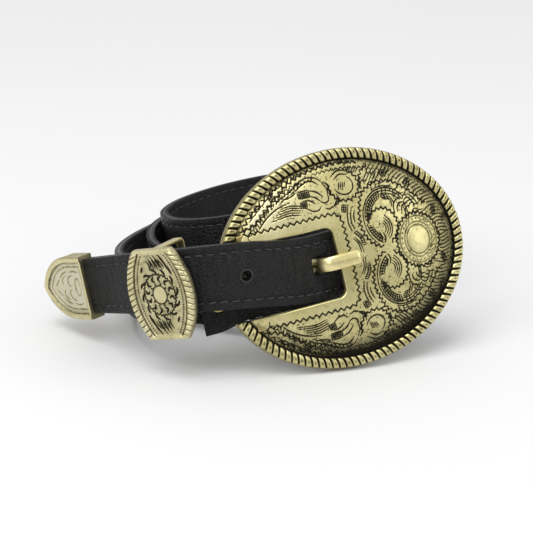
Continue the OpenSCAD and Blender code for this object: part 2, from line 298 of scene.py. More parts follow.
def checks(a, b, pitch, rows):
    """A checkered band between two lines: rungs, and lines along it."""
    a, b = evenly(a, 0.5), evenly(b, 0.5)
    k = min(len(a), len(b))
    pick = lambda q: q[np.linspace(0, len(q) - 1, k).astype(int)]
    a, b = pick(a), pick(b)
    return rungs(a, b, pitch) + [a + (b - a) * r / rows for r in range(rows + 1)]


def patch(cx, cz, w, h, turn, nx, nz):
    """A small block of crossed lines."""
    c, s = math.cos(math.radians(turn)), math.sin(math.radians(turn))
    at = lambda x, z: (cx + c * x - s * z, cz + s * x + c * z)
    out = [np.array([at(x, -h / 2), at(x, h / 2)]) for x in np.linspace(-w / 2, w / 2, nx)]
    return out + [np.array([at(-w / 2, z), at(w / 2, z)]) for z in np.linspace(-h / 2, h / 2, nz)]


class Relief:
    """Depth and darkness over points of a flat drawing, kept as a grid of bins for quick search."""

    def __init__(self, pts, cell=1.0):
        self.p = np.asarray(pts, float)
        self.cut = np.zeros(len(self.p))
        self.dark = np.zeros(len(self.p))
        self.cell = cell
        self.lo = self.p.min(0) - cell
        ij = ((self.p - self.lo) / cell).astype(int)
        self.n = ij.max(0) + 2
        key = ij[:, 0] * self.n[1] + ij[:, 1]
        self.order = np.argsort(key, kind="stable")
        self.start = np.searchsorted(key[self.order], np.arange(self.n[0] * self.n[1] + 1))

    def near(self, lo, hi):
        """Numbers of the points in the bins between two corners."""
        a = np.maximum(((lo - self.lo) / self.cell).astype(int), 0)
        b = np.minimum(((hi - self.lo) / self.cell).astype(int), self.n - 1)
        if (b < a).any():
            return np.zeros(0, int)
        first, last = self.n[1] * np.arange(a[0], b[0] + 1) + [[a[1]], [b[1] + 1]]
        return np.concatenate([self.order[self.start[i] : self.start[j]] for i, j in zip(first, last)])

    def stroke(self, path, half, depth, taper=False):
        """Cuts a rounded groove along a path. Its dark edge reaches 1.6 times the half width."""
        path = np.asarray(path, float)
        n = len(path) - 1
        reach = half * 1.7 + 0.1
        for k in range(n):
            a, b = path[k], path[k + 1]
            ids = self.near(np.minimum(a, b) - reach, np.maximum(a, b) + reach)
            if not len(ids):
                continue
            d = b - a
            rel = self.p[ids] - a
            t = np.clip(rel @ d / (d @ d + 1e-12), 0, 1)
            far = np.linalg.norm(rel - t[:, None] * d, axis=1)
            w = half
            if taper:
                s = (k + t) / n
                w = half * (0.45 + 0.55 * np.sin(np.pi * np.clip(s, 0.02, 0.98)) ** 0.6)
            q = far / w
            self.cut[ids] = np.maximum(self.cut[ids], depth * np.clip(1 - q * q, 0, 1))
            self.dark[ids] = np.maximum(self.dark[ids], np.clip((1.6 - q) / 0.9, 0, 1))

    def strokes(self, paths, half, depth, taper=False):
        for p in paths:
            self.stroke(p, half, depth, taper)

    def dot(self, c, r, depth):
        self.stroke(np.array([c, (c[0] + 0.01, c[1])]), r, depth)


def mirrored(paths):
    """The paths, and their mirror image below the long axis."""
    return paths + [p * (1, -1) for p in paths]


# ---------------------------------------------------------------- materials
def graph(name):
    m = bpy.data.materials.new(name)
    m.use_nodes = True
    nt = m.node_tree
    return m, nt, nt.nodes["Principled BSDF"]


def wire(nt, n, inputs):
    """Sets a node's inputs to values, or links them from other nodes' outputs."""
    for key, v in inputs.items():
        if isinstance(v, bpy.types.NodeSocket):
            nt.links.new(v, n.inputs[key])
        else:
            n.inputs[key].default_value = v
    return n


def node(nt, kind, inputs, **settings):
    n = nt.nodes.new(kind)
    for key, v in settings.items():
        setattr(n, key, v)
    return wire(nt, n, inputs)


def noise(nt, coord, scale, detail=4, rough=0.55):
    inputs = {"Vector": coord, "Scale": scale, "Detail": detail, "Roughness": rough}
    return node(nt, "ShaderNodeTexNoise", inputs).outputs["Fac"]


def span(nt, value, lo, hi, a=0.0, b=1.0):
    """Maps lo..hi to a..b, clamped."""
    inputs = {"Value": value, "From Min": lo, "From Max": hi, "To Min": a, "To Max": b}
    return node(nt, "ShaderNodeMapRange", inputs).outputs["Result"]


def mix(nt, fac, a, b):
    a, b = ((*v, 1) if isinstance(v, tuple) else v for v in (a, b))
    return node(nt, "ShaderNodeMix", {0: fac, 6: a, 7: b}, data_type="RGBA").outputs[2]


def add(nt, a, b):
    return node(nt, "ShaderNodeMath", {0: a, 1: b}, operation="ADD").outputs[0]


def bump(nt, height, strength, distance, below=None):
    inputs = {"Height": height, "Strength": strength, "Distance": distance}
    if below:
        inputs["Normal"] = below
    return node(nt, "ShaderNodeBump", inputs).outputs["Normal"]


def coords(nt):
    return node(nt, "ShaderNodeTexCoord", {}).outputs["Object"]


def attribute(nt, name, out="Fac"):
    return node(nt, "ShaderNodeAttribute", {}, attribute_name=name).outputs[out]


def brass(name, bright, warm, dark, gloss=0.3, patina_and_painted_light=True, grain=0.06):
    """Antique brass: bright on its high spots, brown-black where the finish stays in the cuts. Its tone also
    carries painted shade and a painted highlight.
    """
    m, nt, sh = graph(name)
    c = coords(nt)
    cloud, mottle, speck = noise(nt, c, 70, 5), noise(nt, c, 420, 4, 0.6), noise(nt, c, 2600, 3, 0.7)
    base = mix(nt, span(nt, cloud, 0.35, 0.68), bright, warm)
    base = mix(nt, span(nt, mottle, 0.52, 0.8, 0, 0.45), base, tuple(v * 0.55 for v in warm))
    rough = span(nt, mottle, 0.3, 0.75, gloss - 0.06, gloss + 0.12)
    if patina_and_painted_light:
        # a negative tone is silvery metal, which on the plate is a painted highlight, and a positive one is
        # the dark finish, which on the plate and rim also holds painted shade
        tone = attribute(nt, "tone")
        base = mix(nt, span(nt, tone, 0.0, -1.0), base, (0.58, 0.56, 0.49))
        # worn gathers the darkening: the tone's dark finish and painted shade, with speckle and mottle
        worn = add(nt, tone, span(nt, speck, 0.4, 0.75, -0.10, 0.26))
        worn = add(nt, worn, span(nt, mottle, 0.5, 0.78, 0, 0.30))
        worn = span(nt, worn, 0.10, 0.80)
        base = mix(nt, worn, base, dark)
        rough = add(nt, rough, span(nt, worn, 0, 1, 0, 0.25))
    relief = bump(nt, mottle, grain * 1.5, 0.0006, bump(nt, speck, grain, 0.0004))
    wire(nt, sh, {"Base Color": base, "Roughness": rough, "Metallic": 1.0, "Normal": relief})
    return m


def leather(name, colour, sheen, pebble, crease, gloss):
    """Grain leather: fine pebbles, creases that run across the strap with painted highlights along them,
    painted sheen in broad patches, and a dull wax on top.
    """
    m, nt, sh = graph(name)
    c, lay = coords(nt), attribute(nt, "lay", "Vector")
    pebbles = node(nt, "ShaderNodeTexVoronoi", {"Vector": c, "Scale": pebble}, feature="DISTANCE_TO_EDGE")
    long_way = node(nt, "ShaderNodeMapping", {"Vector": lay, "Scale": (520, 90, 60)})
    fine = noise(nt, c, 2400, 4, 0.65)
    across = noise(nt, long_way.outputs["Vector"], 1.0, 6, 0.62)
    broad = noise(nt, c, 60, 4)
    base = mix(nt, span(nt, fine, 0.35, 0.75), colour, tuple(v * 1.9 for v in colour))
    # painted highlight: the creases are lighter in colour
    base = mix(nt, span(nt, across, 0.50, 0.72, 0, 0.8), base, tuple(v * 5 for v in colour))
    # painted sheen: broad lighter patches
    base = mix(nt, span(nt, broad, 0.4, 0.75, 0, 0.5), base, sheen)
    rough = span(nt, across, 0.3, 0.7, gloss - 0.09, gloss + 0.1)
    relief = bump(nt, span(nt, pebbles.outputs["Distance"], 0, 0.22), 1.0, 0.00030)
    relief = bump(nt, across, crease, 0.0009, bump(nt, fine, 0.8, 0.0004, relief))
    wire(nt, sh, {"Base Color": base, "Roughness": rough, "Specular IOR Level": 0.27, "Normal": relief})
    return m


def plain(name, a, b, gloss, scale, metal=0.0, grain=0.2, depth=0.0002):
    """A painted edge, a thread or a drawn wire: two close colours under a fine texture."""
    m, nt, sh = graph(name)
    c = coords(nt)
    big, small = noise(nt, c, scale, 4), noise(nt, c, scale * 6, 3, 0.65)
    base = mix(nt, span(nt, big, 0.35, 0.7), a, b)
    rough = span(nt, small, 0.3, 0.75, gloss - 0.07, gloss + 0.1)
    relief = bump(nt, small, grain, depth)
    wire(nt, sh, {"Base Color": base, "Roughness": rough, "Metallic": metal, "Normal": relief})
    return m


# the first dark colour is the finish in the cuts, and also the colour of the painted shade on the plate and
# rim
FINISH_AND_SHADE_DARK, SCREW_DARK = (0.022, 0.020, 0.014), (0.05, 0.04, 0.02)
ANTIQUE = brass("antique brass", (0.68, 0.62, 0.32), (0.50, 0.445, 0.20), FINISH_AND_SHADE_DARK, 0.37)
WORN = brass("worn brass", (0.86, 0.77, 0.42), (0.70, 0.61, 0.28), (0.06, 0.045, 0.02), 0.30, False, 0.04)
SCREW = brass("screw brass", (0.56, 0.46, 0.22), (0.38, 0.29, 0.12), SCREW_DARK, 0.30, False)
PALE = brass("pale antique brass", (0.72, 0.66, 0.40), (0.54, 0.49, 0.26), (0.030, 0.026, 0.018), 0.36)
STEEL = plain("bar steel", (0.42, 0.42, 0.43), (0.30, 0.30, 0.31), 0.35, 300, 1.0)
GRAIN = leather("black grain leather", (0.0030, 0.0030, 0.0034), (0.009, 0.009, 0.010), 800, 0.9, 0.30)
LINING = leather("black lining leather", (0.006, 0.006, 0.006), (0.012, 0.012, 0.013), 1500, 0.25, 0.52)
EDGE = plain("edge paint", (0.012, 0.012, 0.013), (0.022, 0.022, 0.024), 0.34, 160, 0.0, 0.15)
THREAD = plain("waxed thread", (0.010, 0.010, 0.011), (0.030, 0.030, 0.033), 0.36, 900, 0.0, 0.4)

# ---------------------------------------------------------------- the plate
A, B = 51.0, 42.0  # half the oval's length and height
RIM_W, RIM_H, ROPE_H = 4.4, 3.0, 1.6  # the rim's width, its wall's height, and the rope on top of it
DOME, WALL = 8.0, 2.0  # the dome's rise above the wall, and the plate's thickness
LIP, SLOT, CORNER = -5.4, 13.4, 3.0  # the slot's closed end, half its height, and its corners' radius
DA, DB = A - RIM_W + 0.6, B - RIM_W + 0.6  # the dome's foot, just under the rim
EDGE_A, EDGE_B = A - RIM_W / 2, B - RIM_W / 2  # the rim's middle line, where the face ends
BOSS_X, BOSS_R, RING_R = 29.5, 5.0, 8.9
GRID, ROLLED = 0.242, 0.9  # the face's mesh, and the round of the slot's edge


def share(x, z):
    """Distance from the plate's middle, 1 at the dome's foot."""
    return np.sqrt((x / DA) ** 2 + (z / DB) ** 2)


def rise(r):
    """The face's height at such a distance."""
    return RIM_H + DOME * (1 - np.minimum(r, 1.0) ** 2.6)


def in_oval(x, z, trim=0.0, limit=1.0):
    return (x / (EDGE_A - trim)) ** 2 + (z / (EDGE_B - trim)) ** 2 < limit


def slot_gap(x, z):
    """Distance from the slot's edge, positive on the metal."""
    qx, qz = x - (LIP - CORNER), np.abs(z) - (SLOT - CORNER)
    return np.hypot(np.maximum(qx, 0), np.maximum(qz, 0)) + np.minimum(np.maximum(qx, qz), 0) - CORNER


def around(r, a0, a1, n):
    """Part of an oval like the dome's foot, r times its size."""
    return arc(0, 0, DA * r, DB * r, a0, a1, n)


def spot(r, a):
    return on_ring(DA * r, DB * r, a)


def scroll(*v):
    """An arc of the large scroll."""
    return arc(18.6, 11.4, *v)


def zigzag_lines():
    """Zigzags that outline the scrolls and follow the rim."""
    upper = curve((-37.5, 19.6), (-33, 21), (-29, 23.4), (-25.5, 26.4), (-21.5, 29.6), (-17, 32.4),
                  (-11.5, 34.6), (-4, 36), (5, 36.2), (13, 35))
    side = curve((13.4, 0.9), (10, 2.8), (7.6, 6), (6.4, 10), (6.6, 14), (8, 18.5), (9.8, 22), (12.5, 24.2),
                 (16.5, 25.6), (21, 25.5), (25, 24), (29, 21), (33, 17), (36.4, 12.8))
    return [
        zigzag(around(0.962, 151, 74, 60), 2.9, 0.75),
        zigzag(upper, 2.4, 0.62),
        zigzag(side, 2.1, 0.55),
        zigzag(arc(15.4, 8.7, 6.5, 6.9, 158, -72, 50), 2.0, 0.52),
        zigzag(arc(4.4, 27.4, 6.3, 5.9, -200, 60, 60), 2.1, 0.55),
        zigzag(curve((10.6, 24.6), (11.4, 28), (13.4, 31), (17, 33)), 2.0, 0.5),
    ]


def leaf_lines():
    """Outlines of the leaves and of the scrolls' curls."""
    lines = curves(
        ((-31.8, 18.9), (-30.4, 20.4), (-28, 22.3), (-25, 24), (-21.6, 25.2), (-18, 25.8)),
        ((-17.2, 29.2), (-13, 32), (-9, 33.3), (-5.6, 32.6), (-3.8, 30.8)),
        ((-15.6, 28.9), (-12, 30.9), (-9, 31.9), (-6.5, 31.2), (-5.3, 29.8)),
        ((-9.4, 28.4), (-7, 27.4), (-5.1, 25.2)),
        ((-10, 26.4), (-8, 25.3), (-6.5, 23.7)),
        ((-12.6, 22.2), (-10.4, 20.6), (-8.2, 20.5), (-6.8, 21.7)),
        ((-13, 25.2), (-10.6, 24.8), (-8.7, 23.2)),
        ((-6.4, 23.4), (-5, 22.6), (-3.4, 23.2), (-2.8, 24.6)),
        ((-5.4, 20.6), (-4, 20), (-2.6, 20.6)),
        ((-19.6, 27.3), (-17, 27.8), (-14.6, 28.8)),
        ((3.5, 19.6), (2.1, 16), (1.7, 12.6), (2.3, 9.8)),
        ((4.6, 18.7), (3.3, 15.4), (3, 12.6), (3.5, 10.4)),
        ((5.5, 17.4), (4.5, 15), (4.3, 12.6)),
        ((13.2, 6.7), (13.8, 4.6), (13.3, 2.7)),
        ((14.7, 6.2), (15.2, 4), (14.5, 2.2)),
        ((29, 17.2), (30.6, 15.4), (31.6, 13)),
        ((30.4, 17.6), (32, 15.8), (33, 13.6)),
        ((0.4, 31.4), (4, 33.2), (8.6, 32.4)),
        ((1.4, 30.2), (4.2, 31.7), (7.4, 31)),
    )
    lines += [arc(25.4, 13.4, 3.6, 3.9, 62, 196), arc(25.8, 12.9, 2.5, 2.7, 52, 190)]
    lines += [arc(27.6, 12.3, 2.4, 2.5, 66, 184), arc(28.3, 11.9, 1.4, 1.5, 60, 190)]
    return lines + [scroll(10.6, 11.4, 34, 182, 50), arc(4.4, 27.4, 3.9, 3.6, -170, 50)]


def hatch_lines():
    """Hair lines in the leaves and scrolls, and rays that run in from the rim."""
    lines = [arc(14.5, 7.9, r, r * 1.12, -62, 58) for r in (1.9, 2.8, 3.7, 4.6)]
    lines += [arc(18.4, 11.2, r, r * 1.1, -36, 18) for r in (8.2, 9.2)]
    lines += [scroll(9.6, 10.3, 30, 120), scroll(8.6, 9.2, 34, 96), scroll(11.3, 12.2, 60, 110)]
    lines += [scroll(9.6, 10.3, 182, 240), scroll(10.6, 11.4, 182, 226)]
    lines += row(5, (-26.8, 20.4, 1.1, 0.95), (-20, 21.2, 0.4, 0.85), (-15.4, 20.3, 0.3, 0.8))
    lines += row(2, (2, 7, 0.7, 0.4), (3.6, 4.6, 0.8, 0), (4, 1, 0.9, 0))
    lines += row(4, (1.8, 26, 1, 0.2), (2.9, 28.8, 1, -0.1), step=0.85, bent=False)
    lines += row(5, (12.6, 26.9, 1.5, -0.35), (16.4, 30.8, 1.5, -0.55), step=0.8, bent=False)
    lines += row(9, (-34.6, 22.3, 1.9, 1.5), (-33, 23.8, 1.95, 1.4), (-32.6, 26, 2, 1.15))
    lines += row(5, (-33.4, 24.4, 3.1, 1.9), (-32.2, 25.3, 3.2, 1.8))
    lines += row(4, (20.6, 30.2, 1.1, -0.75), (23.2, 33, 1.15, -0.95), bent=False)
    lines += row(2, (-3.2, 24.2, 0.9, 0.5), (-2.6, 27.4, 0.9, 0.4), (-3.6, 30.2, 0.9, 0.3))
    lines += row(5, (-23, 26.6, 2.3, 1.2), (-20.6, 28.4, 2.2, 0.9))
    lines += row(3, (-21.4, 26.4, 2.3, 1.1), (-19.4, 27.8, 2.2, 0.9))
    lines += row(3, (-2.6, 20.4, 0, -0.2), (0.2, 21.4, 0, 0.9), (0.6, 23.6, 0, 0.6))
    lines += row(5, (7.4, 31.8, 0.9, -0.2), (9.4, 34.2, 1, -0.3))
    lines += row(2, (20.5, 19.2, 0.9, -0.1), (21.6, 16.8, 0.9, 0), (21.3, 14.8, 0.9, 0))
    lines += row(3, (9.6, 11.6, 0, 1.1), (10.8, 12.4, 0, 1.0))
    for k in range(-1, 28):
        a = math.radians(3 + 2.35 * k)
        inner = 0.79 + 0.05 * math.sin(k * 2.4) + 0.03 * (k % 3)
        lines.append(curve(spot(inner, a), spot(0.87, a + 0.012), spot(0.945, a - 0.02)))
    return lines


def ground_lines():
    """Rows that fill the ground between the leaves and the rim."""
    lines = [zigzag(around(0.885, 152, 104, 60), 2.3, 0.5), zigzag(around(0.895, 99, 62, 50), 1.9, 0.4)]
    lines.append(zigzag(around(0.968, 72, 2, 70), 1.8, 0.35))
    for k in range(22):
        a = math.radians(146 - 2.2 * k)
        lines.append(np.array([spot(0.845, a + 0.02), spot(0.873, a - 0.012)]))
    for k in range(26):
        a = math.radians(70 - 2.7 * k)
        lo, hi = 0.70 + 0.03 * math.sin(1.7 * k), 0.775 + 0.02 * math.sin(2.9 * k)
        lines.append(curve(spot(lo, a), spot((lo + hi) / 2, a + 0.02), spot(hi, a - 0.015)))
    return lines


def checkered_blocks():
    lines = []
    for v in (
        (-13.2, 23.6, 2.4, 2.1, -12, 4, 4), (-12, 27.5, 4.4, 2.7, -4, 7, 5), (1.5, 18.8, 1.7, 2.6, -20, 3, 4),
        (22.4, 28.2, 2.6, 2.3, -30, 4, 4), (31.5, 22.5, 2.2, 3.2, -40, 3, 5),
        (39.8, 9.4, 1.8, 3.4, -14, 3, 5), (-24.2, 29.3, 2.2, 1.8, 38, 4, 3),
    ):
        lines += patch(*v)
    lines += checks(scroll(7.4, 8, 172, 104), scroll(9.8, 10.6, 174, 96), 0.95, 3)
    lines += checks(scroll(6.2, 7, 88, 70), scroll(7.8, 8.6, 96, 74), 0.9, 2)
    lines += checks(scroll(7.6, 8.4, 196, 236), scroll(9.4, 10.2, 192, 234), 0.9, 2)
    inner, outer = curves(((2.9, 8.9), (4.8, 6.4), (5.3, 3.6)), ((4.2, 9.4), (6, 6.7), (6.5, 3.6)))
    return lines + checks(inner, outer, 0.9, 1)


def plate_relief(x, z):
    """The engraving, cut into the face's points."""
    border = curve((-41.5, 18), (-30, 18), (-16, 18), (-5, 18), (-2.2, 17.4), (-0.8, 15.6), (-0.6, 12),
                   (-0.6, 6), (-0.6, 0))
    bold = [zigzag(np.vstack([border, border[::-1][1:] * (1, -1)]), 2.5, 0.62)]
    bold.append(zigzag(arc(BOSS_X, 0, 9.95, 10.5, 0, 360, 120), 1.92, 0.52))
    fine = [arc(BOSS_X, 0, r, r * 1.07, 0, 360, 90) for r in (5.3, 6.4, 8.55)]
    rel = Relief(np.stack([x, z], 1))
    rel.strokes(bold + mirrored(zigzag_lines()), 0.27, 0.26)
    rel.strokes(fine + mirrored(leaf_lines()), 0.28, 0.26, True)
    rel.strokes(mirrored(hatch_lines() + ground_lines() + checkered_blocks()), 0.23, 0.2, True)
    beads = 26
    for k in range(beads):
        bx, bz = on_ring(7.6, 8.15, 2 * math.pi * k / beads)
        rel.dot((BOSS_X + bx, bz), 0.4, 0.2)
    # fine pits, away from the slot and the boss
    pits = 1500
    rng = np.random.default_rng(7)
    for c in np.stack([rng.uniform(-44, 47, pits), rng.uniform(-38, 38, pits)], 1):
        if slot_gap(*c) > 5.4 and math.hypot(c[0] - BOSS_X, c[1]) > 10.6:
            rel.dot(c, rng.uniform(0.12, 0.26), 0.08)
    return rel


def plate_grid():
    """The face laid flat: its points, its quads and its free edges."""
    left, right = int((A + LIP) / GRID), int((A - LIP) / GRID)
    xs = LIP + np.arange(-left, right + 1) * GRID
    n = int(B / GRID)
    row_step = SLOT / round(SLOT / GRID)
    X, Z = np.meshgrid(xs, np.arange(-n, n + 1) * row_step, indexing="ij")
    mid_x, mid_z = (X[:-1, :-1] + X[1:, 1:]) / 2, (Z[:-1, :-1] + Z[1:, 1:]) / 2
    inside = in_oval(mid_x, mid_z) & (slot_gap(mid_x, mid_z) > 0)
    idx = np.arange(X.size).reshape(X.shape)
    quads = np.stack([idx[:-1, :-1], idx[1:, :-1], idx[1:, 1:], idx[:-1, 1:]], -1)[inside]
    used, quads = np.unique(quads, return_inverse=True)
    quads = quads.reshape(-1, 4)
    x, z = X.ravel()[used], Z.ravel()[used]
    edges = np.sort(np.stack([quads, np.roll(quads, -1, 1)], -1).reshape(-1, 2), 1)
    edges, count = np.unique(edges, axis=0, return_counts=True)
    free = edges[count == 1]
    # points on the slot's rounded corners move on to the arc
    snap = np.isin(np.arange(len(x)), free) & (slot_gap(x, z) < 0.3)
    snap &= (x > LIP - CORNER - 0.1) & (np.abs(z) > SLOT - CORNER - 0.1)
    mid_x, mid_z = LIP - CORNER, np.sign(z[snap]) * (SLOT - CORNER)
    out_x, out_z = x[snap] - mid_x, z[snap] - mid_z
    far = np.hypot(out_x, out_z)
    x[snap], z[snap] = mid_x + out_x / far * CORNER, mid_z + out_z / far * CORNER
    return x, z, quads, free


def plate_surface(x, z):
    """The face's height, and the tone of its finish with painted shade and a painted highlight."""
    rel = plate_relief(x, z)
    r, gap = share(x, z), slot_gap(x, z)
    boss = np.hypot(x - BOSS_X, z / 1.07)
    field = np.clip((0.985 - r) / 0.02, 0, 1)  # the engraving stops short of the rim
    height = rise(r)
    height += 0.42 * np.sqrt(np.clip(1 - (boss / BOSS_R) ** 2, 0, 1))
    height -= 0.12 * ((boss > BOSS_R) & (boss < 8.6))
    height -= rel.cut * field * (boss >= BOSS_R)
    roll = np.clip(ROLLED - gap, 0, ROLLED)
    height -= ROLLED - np.sqrt(np.maximum(ROLLED**2 - roll**2, 0))
    lines = 0.95 * rel.dark * field * np.where(boss < RING_R, 0.55, 1)
    shade = 0.55 + 0.45 * np.clip((x - z + 10) / 60, -0.5, 1)  # painted shade, darkest to the right and below
    # patina towards the rim, deepened by the painted shade
    patina_and_painted_light = np.clip((r - 0.70) / 0.30, 0, 1) ** 1.6 * 0.66 * shade
    # darker in the lower band near the rim, and painted shade that deepens to the right
    under = np.clip((-z - 14) / 22, 0, 1) * np.clip((r - 0.62) / 0.3, 0, 1) * 0.42
    under += 0.10 * np.clip((x + 4) / 40, 0, 1)
    groove = np.clip((r - 0.955) / 0.03, 0, 1) * 0.95
    off_slot = np.clip((gap - 2.6) / 0.5, 0, 1)
    tone = np.maximum.reduce([lines, groove, (patina_and_painted_light + under) * off_slot])
    tone = np.where(boss < BOSS_R, 0.0, tone)
    # a painted highlight: a silvery patch at the upper left, between the cuts
    highlight_patch = np.clip(1.25 - np.hypot((x + 31) / 17, (z - 26) / 11), 0, 1)
    with_highlight = tone * (1 - highlight_patch) - 0.45 * highlight_patch * (r < 0.95)
    return height, np.where(rel.dark * field > 0.12, tone, with_highlight)


def plate_back(x, z, free):
    """The same outline in few triangles: points and faces, and where the outline's points went."""
    outline = np.unique(free)
    number = {int(v): k for k, v in enumerate(outline)}
    across, along = np.arange(-50, 51, 2.2), np.arange(-41, 41.1, 2.2)
    px, pz = (v.ravel() for v in np.meshgrid(across, along, indexing="ij"))
    clear = in_oval(px, pz, 1) & ~((np.abs(pz) < SLOT + 0.8) & (px < LIP + 0.8))
    flat = np.vstack([np.stack([x, z], 1)[outline], np.stack([px, pz], 1)[clear]])
    ring = [(number[int(a)], number[int(b)]) for a, b in free]
    verts, _, tri, origin = delaunay_2d_cdt([Vector(p) for p in flat], ring, [], 0, 1e-5, True)[:4]
    bx, bz = np.array([tuple(v) for v in verts]).T
    tri = np.array(tri)
    tx, tz = bx[tri].mean(1), bz[tri].mean(1)
    keep = in_oval(tx, tz, limit=1.02) & (slot_gap(tx, tz) > -0.02)
    keep &= ~((np.abs(tz) < SLOT - CORNER) & (tx < LIP)) & ~((np.abs(tz) < SLOT) & (tx < LIP - CORNER))
    a, b, c = tri[keep].T
    area = (bx[b] - bx[a]) * (bz[c] - bz[a]) - (bx[c] - bx[a]) * (bz[b] - bz[a])
    tri = np.where((area > 0)[:, None], tri[keep][:, ::-1], tri[keep])
    went = {o[0]: k for k, o in enumerate(origin) if o and o[0] < len(outline)}
    points = np.stack([bx, -np.maximum(rise(share(bx, bz)) - WALL, 0.6), bz], 1)
    return points, tri, {v: went[k] for v, k in number.items()}


def plate_face():
    """The plate's domed face with its engraving, its slot's walls and its back."""
    x, z, quads, free = plate_grid()
    height, tone = plate_surface(x, z)
    back, tri, went = plate_back(x, z, free)
    base = len(x)
    turns = {(int(q[k]), int(q[(k + 1) % 4])) for q in quads[np.isin(quads, free).any(1)] for k in range(4)}
    walls = []
    for a, b in free.tolist():
        if (a, b) not in turns:
            a, b = b, a
        walls.append((b, a, base + went[a], base + went[b]))
    points = np.vstack([np.stack([x, -height, z], 1), back])
    faces = quads.tolist() + walls + (tri + base).tolist()
    return points, faces, np.concatenate([tone, np.full(len(back), 0.28)])


def rope_ring():
    """The rim: a wall with a rope of slanted strands on it, round the oval from arm to arm."""
    half = RIM_W / 2
    rope_half, samples, strand_long, strand_steps = 2.05, 4001, 2.75, 14
    a = np.linspace(0, 2 * np.pi, samples)
    ex, ez = EDGE_A * np.cos(a), EDGE_B * np.sin(a)
    far = np.concatenate([[0], np.cumsum(np.hypot(np.diff(ex), np.diff(ez)))])
    pitch = far[-1] / round(far[-1] / strand_long)
    end = np.interp(math.pi - math.asin((SLOT - 4) / EDGE_B), a, far)
    s = np.arange(-end, end, pitch / strand_steps)
    ang = (np.sign(s) * np.interp(np.abs(s), far, a))[:, None]
    nx, nz = np.cos(ang) / EDGE_A, np.sin(ang) / EDGE_B
    nl = np.hypot(nx, nz)
    nx, nz = nx / nl, nz / nl
    # section: out from the rim's middle, height toward the face, share of the rope's relief
    k = np.linspace(0, np.pi, 17)
    crown = RIM_H + 0.05 + (ROPE_H + 0.15) * np.sin(k) ** 0.8
    rope = np.stack([-rope_half * np.cos(k), crown, np.sin(k) ** 0.5], 1)
    inner = [(-half, 0.6, 0), (-half, 2.4, 0), (-2.1, RIM_H - 0.2, 0)]
    outer = [(half, RIM_H - 0.2, 0), (2.32, RIM_H - 0.5, 0), (2.32, 0.5, 0), (2.0, 0.05, 0), (-1.6, 0.05, 0)]
    out, up, part = np.vstack([inner, rope, outer]).T
    f = np.abs(((s[:, None] - 0.40 * out) / pitch % 1.0) - 0.5) * 2  # 0 in a strand's middle, 1 at a cut
    open_in = 0.60 + 0.10 * out / rope_half  # a cut is widest on the inner side
    cuts = np.clip((f - open_in) / 0.22, 0, 1) ** 1.2
    dimple = np.exp(-((f / 0.30) ** 2)) * np.exp(-(((out - 0.35) / 0.55) ** 2))
    height = up - part * (cuts * 0.95 + f**2 * 0.35 * 0.6 + dimple * 0.34)
    rings = np.stack([EDGE_A * np.cos(ang) + nx * out, -height, EDGE_B * np.sin(ang) + nz * out], -1)
    tone = np.maximum(cuts * 1.25, dimple * 0.7) * np.clip(part * 1.6, 0, 1)
    tone = np.maximum(tone, np.where((out < -1.85) & (up > 2.0), 0.9, 0))
    # painted shade on the rim's outer shoulder and side wall
    tone = np.maximum(tone, np.where((out > 2.15), 0.35, 0))
    points, faces = tube(rings)
    return points, faces, tone.ravel()


def trim_rim(o):
    """Ends the rim flush with the slot's two long edges."""
    bm = bmesh.new()
    bm.from_mesh(o.data)
    turn = REST @ PLATE
    mid, left = Vector(to_row([0, 0, 0])), Vector(turn @ np.array([-1.0, 0, 0]))
    for s in (1, -1):
        at = Vector(to_row(place([-40, 0, s * SLOT], PLATE)))
        no = Vector(turn @ np.array([0, 0, -s]))
        near = []
        for f in bm.faces:
            c = f.calc_center_median()
            if (c - mid).dot(left) > 0.03 and (c - mid).dot(no) < 0.002 and (c - at).dot(no) > -0.012:
                near.append(f)
        geom = list({v for f in near for v in f.verts}) + list({e for f in near for e in f.edges}) + near
        bmesh.ops.bisect_plane(bm, geom=geom, dist=1e-7, plane_co=at, plane_no=no, clear_outer=True)
        loose = [e for e in bm.edges if e.is_boundary]
        if loose:
            bmesh.ops.holes_fill(bm, edges=loose, sides=0)
    bm.to_mesh(o.data)
    bm.free()


def on_plate(name, points, faces, body, nodes, slot, mat, **more):
    return piece(name, place(points, PLATE), faces, body, nodes, slot, mat, **more)


pts, faces, tone = plate_face()
on_plate("plate_face", pts, faces, "belt", ["buckle_plate"], "antique_brass", ANTIQUE, tone=tone, sharp=50)
pts, faces, tone = rope_ring()
trim_rim(on_plate("plate_rope_rim", pts, faces, "belt", (), "antique_brass", ANTIQUE, tone=tone, sharp=60))


def block(lo, hi, r=0.6):
    """A box with rounded edges."""
    bm = bmesh.new()
    bmesh.ops.create_cube(bm, size=1)
    lo, hi = np.array(lo, float), np.array(hi, float)
    for v in bm.verts:
        v.co = Vector((lo + hi) / 2 + np.array(v.co) * (hi - lo))
    bmesh.ops.bevel(bm, geom=list(bm.edges), offset=r, segments=4, profile=0.5, affect="EDGES")
    bm.verts.index_update()
    out = [tuple(v.co) for v in bm.verts], [[v.index for v in f.verts] for f in bm.faces]
    bm.free()
    return out


BAR_X, BAR_Y, BAR_R = -38.0, 1.0, 1.25
LUG_X, LUG_Z, LUG_HALF = 3.2, 16.3, 2.3
LUG_FRONT = -(rise(0.82) - 2)
lugs = []
for s in (1, -1):
    low = (BAR_X - LUG_X, LUG_FRONT, s * LUG_Z - LUG_HALF)
    lugs.append(block(low, (BAR_X + LUG_X, BAR_Y + 2.8, s * LUG_Z + LUG_HALF), 0.7))
on_plate("plate_lugs", *merged(lugs), "belt", (), "antique_brass", SCREW)

